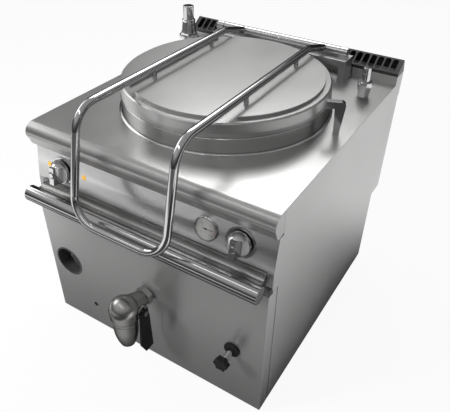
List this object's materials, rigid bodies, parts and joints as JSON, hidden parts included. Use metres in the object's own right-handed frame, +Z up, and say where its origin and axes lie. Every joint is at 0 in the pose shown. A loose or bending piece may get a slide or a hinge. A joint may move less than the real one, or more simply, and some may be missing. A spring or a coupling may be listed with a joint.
{
  "type": "gas boiling kettle",
  "caption": "Freestanding steel cabinet with a round jacketed cooking vessel, hinged lid with a long loop handle, drain tap, gas and water controls and a rear flue vent.",
  "frame": {"origin": "on the floor, under the middle of the whole unit", "axes": "+Z up, +Y from the control front to the flue at the back, +X to the right of a person at the front"},
  "size_m": [0.8, 1.0535, 0.8885],
  "materials": {
    "satin_steel": "satin brushed stainless steel",
    "polished_steel": "polished stainless steel",
    "inner_steel": "plain stainless sheet",
    "frame_steel": "painted steel tube",
    "black_plastic": "black moulded plastic",
    "brass": "plain brass",
    "pipe_steel": "drawn steel tube",
    "wool": "mineral wool under foil",
    "rubber": "black silicone rubber",
    "dial": "white printed dial",
    "needle": "black lacquer",
    "clear": "clear glass",
    "marks": "yellow and orange enamel",
    "knob_metal": "bright plated casting"
  },
  "bodies": {
    "cabinet": {"base_frame": "frame_steel", "burner": "inner_steel", "colour_marks": "marks", "column_pipes": "pipe_steel", "combustion_chamber": "inner_steel", "control_panel": "satin_steel", "drain_access_plate": "satin_steel", "drain_nut": "polished_steel", "drain_pipe": "pipe_steel", "drain_strainer": "inner_steel", "drain_tap_body": "polished_steel", "flue_duct": "inner_steel", "front_panel": "satin_steel", "front_rail": "polished_steel", "gas_pipes": "pipe_steel", "gas_valve": "brass", "gauge_case": "polished_steel", "gauge_dial": "dial", "gauge_glass": "clear", "hinge_bearings": "polished_steel", "hinge_bridge": "satin_steel", "insulation_band": "wool", "jacket": "inner_steel", "kettle_collar": "polished_steel", "knob_bezels": "polished_steel", "left_side_panel": "satin_steel", "level_flange": "black_plastic", "level_tap_body": "polished_steel", "levelling_feet": "polished_steel", "pilot_burner": "brass", "rail_brackets": "frame_steel", "rail_cove": "satin_steel", "rear_panel": "satin_steel", "rear_screws": "polished_steel", "rear_upstand": "satin_steel", "right_side_panel": "satin_steel", "safety_valve": "polished_steel", "sight_port": "black_plastic", "vent_column": "polished_steel", "vent_grille": "satin_steel", "vessel": "satin_steel", "water_pipes": "pipe_steel", "water_spout": "polished_steel", "water_valve": "brass", "worktop": "satin_steel"},
    "lid": {"lid_shell": "satin_steel", "lid_inner_pan": "inner_steel", "lid_seal": "rubber", "lid_handle": "polished_steel", "hinge_tube": "polished_steel"},
    "gas_turn": {"gas_spindle": "brass"},
    "gas_grip": {"gas_knob": "knob_metal"},
    "water_grip": {"water_knob": "knob_metal"},
    "drain_turn": {"drain_ball": "polished_steel", "drain_lever": "black_plastic"},
    "level_grip": {"level_knob": "black_plastic"},
    "gauge_pointer": {"gauge_needle": "needle"},
    "valve_lift": {"safety_cap": "polished_steel"}
  },
  "joints": [
    {"name": "lid_hinge", "type": "hinge", "parent": "cabinet", "child": "lid", "pos_m": [0, 0.42575, 0.819], "axis": [-1, 0, 0], "range_deg": [0, 80]},
    {"name": "gas_turning", "type": "hinge", "parent": "cabinet", "child": "gas_turn", "pos_m": [-0.3, -0.35444, 0.601], "axis": [0, -0.9866, 0.1633], "range_deg": [0, 180]},
    {"name": "gas_push", "type": "slide", "parent": "gas_turn", "child": "gas_grip", "axis": [0, 0.9866, -0.1633], "range_m": [0, 0.004], "stiffness_N_per_m": 1500, "springref_m": -0.003},
    {"name": "water_turning", "type": "hinge", "parent": "cabinet", "child": "water_grip", "pos_m": [0.3, -0.35345, 0.607], "axis": [0, -0.9866, 0.1633], "range_deg": [-90, 90]},
    {"name": "drain_opening", "type": "hinge", "parent": "cabinet", "child": "drain_turn", "pos_m": [0.003, -0.44825, 0.29], "axis": [-1, 0, 0], "range_deg": [0, 90]},
    {"name": "level_turning", "type": "hinge", "parent": "cabinet", "child": "level_grip", "pos_m": [0.301, -0.42825, 0.229], "axis": [0, -1, 0], "range_deg": [0, 360]},
    {"name": "gauge_pointing", "type": "hinge", "parent": "cabinet", "child": "gauge_pointer", "pos_m": [0.2, -0.35345, 0.607], "axis": [0, -0.9866, 0.1633], "range_deg": [-45, 225]},
    {"name": "valve_lifting", "type": "slide", "parent": "cabinet", "child": "valve_lift", "axis": [0, 0, 1], "range_m": [0, 0.004], "stiffness_N_per_m": 5000, "springref_m": -0.004}
  ]
}
